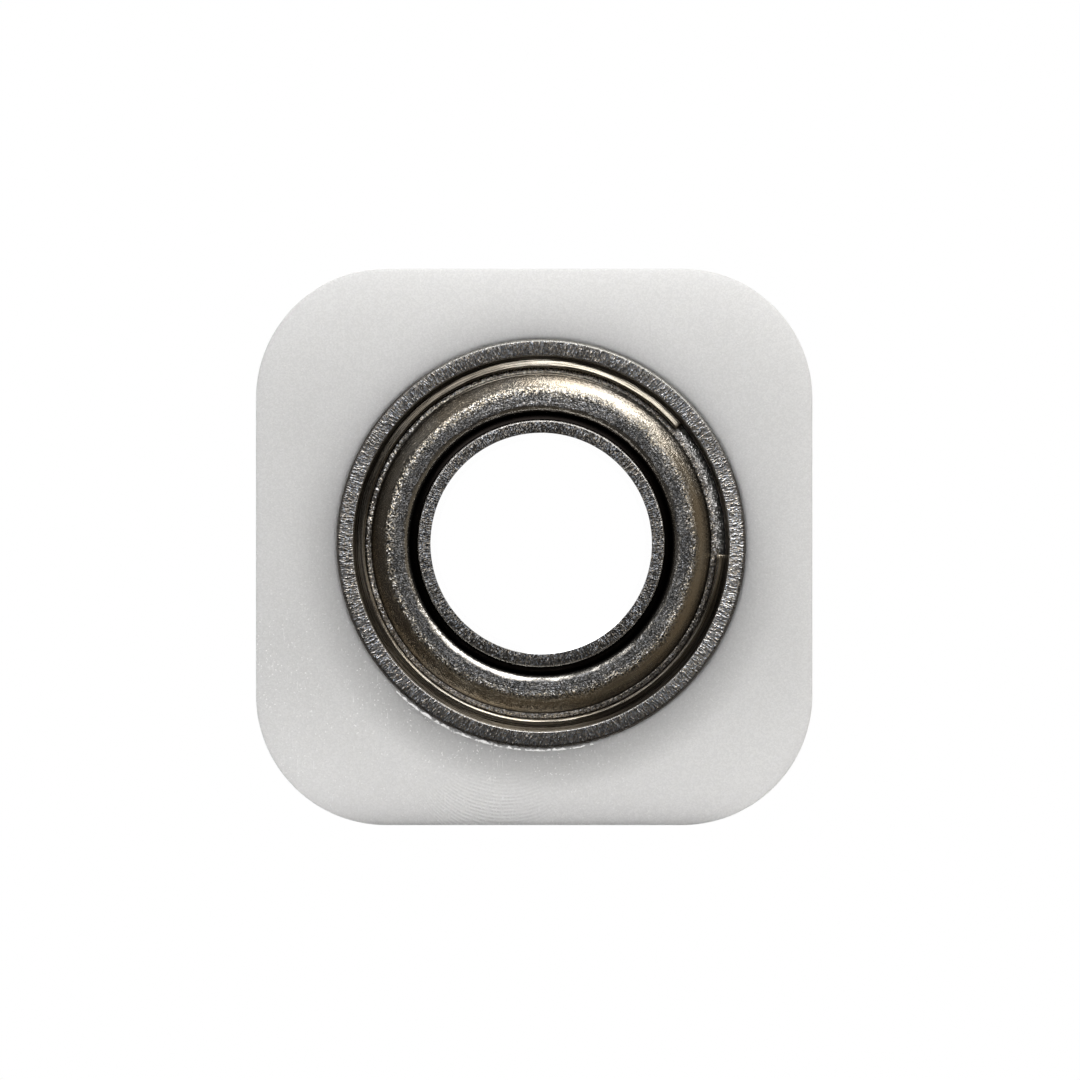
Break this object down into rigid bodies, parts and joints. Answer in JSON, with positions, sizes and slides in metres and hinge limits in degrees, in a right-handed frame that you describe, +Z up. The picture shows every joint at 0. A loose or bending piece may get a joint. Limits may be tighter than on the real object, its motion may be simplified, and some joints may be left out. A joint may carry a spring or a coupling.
{
  "type": "slide block with shielded ball bearing",
  "caption": "Square white plastic slide block with round corners and a pressed-in shielded ball bearing, whose inner ring turns on caged balls behind snap-wired metal shields.",
  "frame": {"origin": "on the axis of the bore, halfway through the bearing", "axes": "+Y along the bore axis from the front to the rear of the block, +Z up, +X to the right of someone who looks at the front"},
  "size_m": [0.0214, 0.007, 0.0214],
  "materials": {
    "white_acetal": "satin milky acetal with fine milling marks",
    "ground_bearing_steel": "ground faces with crossed fine scratches, turned and honed bore",
    "tumbled_shield_steel": "pressed sheet, tumbled to a fine matte sparkle",
    "spring_wire": "drawn wire, bright",
    "cage_steel": "pressed ribbon, satin",
    "rivet_steel": "satin",
    "polished_ball_steel": "mirror polish"
  },
  "bodies": {
    "housing": {"slide_block": "white_acetal", "outer_ring": "ground_bearing_steel", "front_shield": "tumbled_shield_steel", "rear_shield": "tumbled_shield_steel", "front_snap_wire": "spring_wire", "rear_snap_wire": "spring_wire"},
    "inner": {"inner_ring": "ground_bearing_steel"},
    "cage": {"cage_front": "cage_steel", "cage_rear": "cage_steel", "cage_rivets": "rivet_steel"},
    "ball_01": {"ball_01": "polished_ball_steel"},
    "ball_02": {"ball_02": "polished_ball_steel"},
    "ball_03": {"ball_03": "polished_ball_steel"},
    "ball_04": {"ball_04": "polished_ball_steel"},
    "ball_05": {"ball_05": "polished_ball_steel"},
    "ball_06": {"ball_06": "polished_ball_steel"},
    "ball_07": {"ball_07": "polished_ball_steel"},
    "ball_08": {"ball_08": "polished_ball_steel"},
    "ball_09": {"ball_09": "polished_ball_steel"},
    "ball_10": {"ball_10": "polished_ball_steel"}
  },
  "joints": [
    {"name": "inner_spin", "type": "hinge", "parent": "housing", "child": "inner", "pos_m": [0, 0, 0], "axis": [0, 1, 0], "continuous": true},
    {"name": "cage_orbit", "type": "hinge", "parent": "housing", "child": "cage", "pos_m": [0, 0, 0], "axis": [0, 1, 0], "continuous": true},
    {"name": "ball_01_spin", "type": "hinge", "parent": "cage", "child": "ball_01", "pos_m": [0.006, 0, 0], "axis": [0, 1, 0], "continuous": true},
    {"name": "ball_02_spin", "type": "hinge", "parent": "cage", "child": "ball_02", "pos_m": [0.00485, 0, 0.00353], "axis": [0, 1, 0], "continuous": true},
    {"name": "ball_03_spin", "type": "hinge", "parent": "cage", "child": "ball_03", "pos_m": [0.00185, 0, 0.00571], "axis": [0, 1, 0], "continuous": true},
    {"name": "ball_04_spin", "type": "hinge", "parent": "cage", "child": "ball_04", "pos_m": [-0.00185, 0, 0.00571], "axis": [0, 1, 0], "continuous": true},
    {"name": "ball_05_spin", "type": "hinge", "parent": "cage", "child": "ball_05", "pos_m": [-0.00485, 0, 0.00353], "axis": [0, 1, 0], "continuous": true},
    {"name": "ball_06_spin", "type": "hinge", "parent": "cage", "child": "ball_06", "pos_m": [-0.006, 0, 0], "axis": [0, 1, 0], "continuous": true},
    {"name": "ball_07_spin", "type": "hinge", "parent": "cage", "child": "ball_07", "pos_m": [-0.00485, 0, -0.00353], "axis": [0, 1, 0], "continuous": true},
    {"name": "ball_08_spin", "type": "hinge", "parent": "cage", "child": "ball_08", "pos_m": [-0.00185, 0, -0.00571], "axis": [0, 1, 0], "continuous": true},
    {"name": "ball_09_spin", "type": "hinge", "parent": "cage", "child": "ball_09", "pos_m": [0.00185, 0, -0.00571], "axis": [0, 1, 0], "continuous": true},
    {"name": "ball_10_spin", "type": "hinge", "parent": "cage", "child": "ball_10", "pos_m": [0.00485, 0, -0.00353], "axis": [0, 1, 0], "continuous": true}
  ],
  "couplings": [
    {"joint": "cage_orbit", "follows": "inner_spin", "ratio": 0.41667},
    {"joint": "ball_01_spin", "follows": "inner_spin", "ratio": -2.9167},
    {"joint": "ball_02_spin", "follows": "inner_spin", "ratio": -2.9167},
    {"joint": "ball_03_spin", "follows": "inner_spin", "ratio": -2.9167},
    {"joint": "ball_04_spin", "follows": "inner_spin", "ratio": -2.9167},
    {"joint": "ball_05_spin", "follows": "inner_spin", "ratio": -2.9167},
    {"joint": "ball_06_spin", "follows": "inner_spin", "ratio": -2.9167},
    {"joint": "ball_07_spin", "follows": "inner_spin", "ratio": -2.9167},
    {"joint": "ball_08_spin", "follows": "inner_spin", "ratio": -2.9167},
    {"joint": "ball_09_spin", "follows": "inner_spin", "ratio": -2.9167},
    {"joint": "ball_10_spin", "follows": "inner_spin", "ratio": -2.9167}
  ]
}
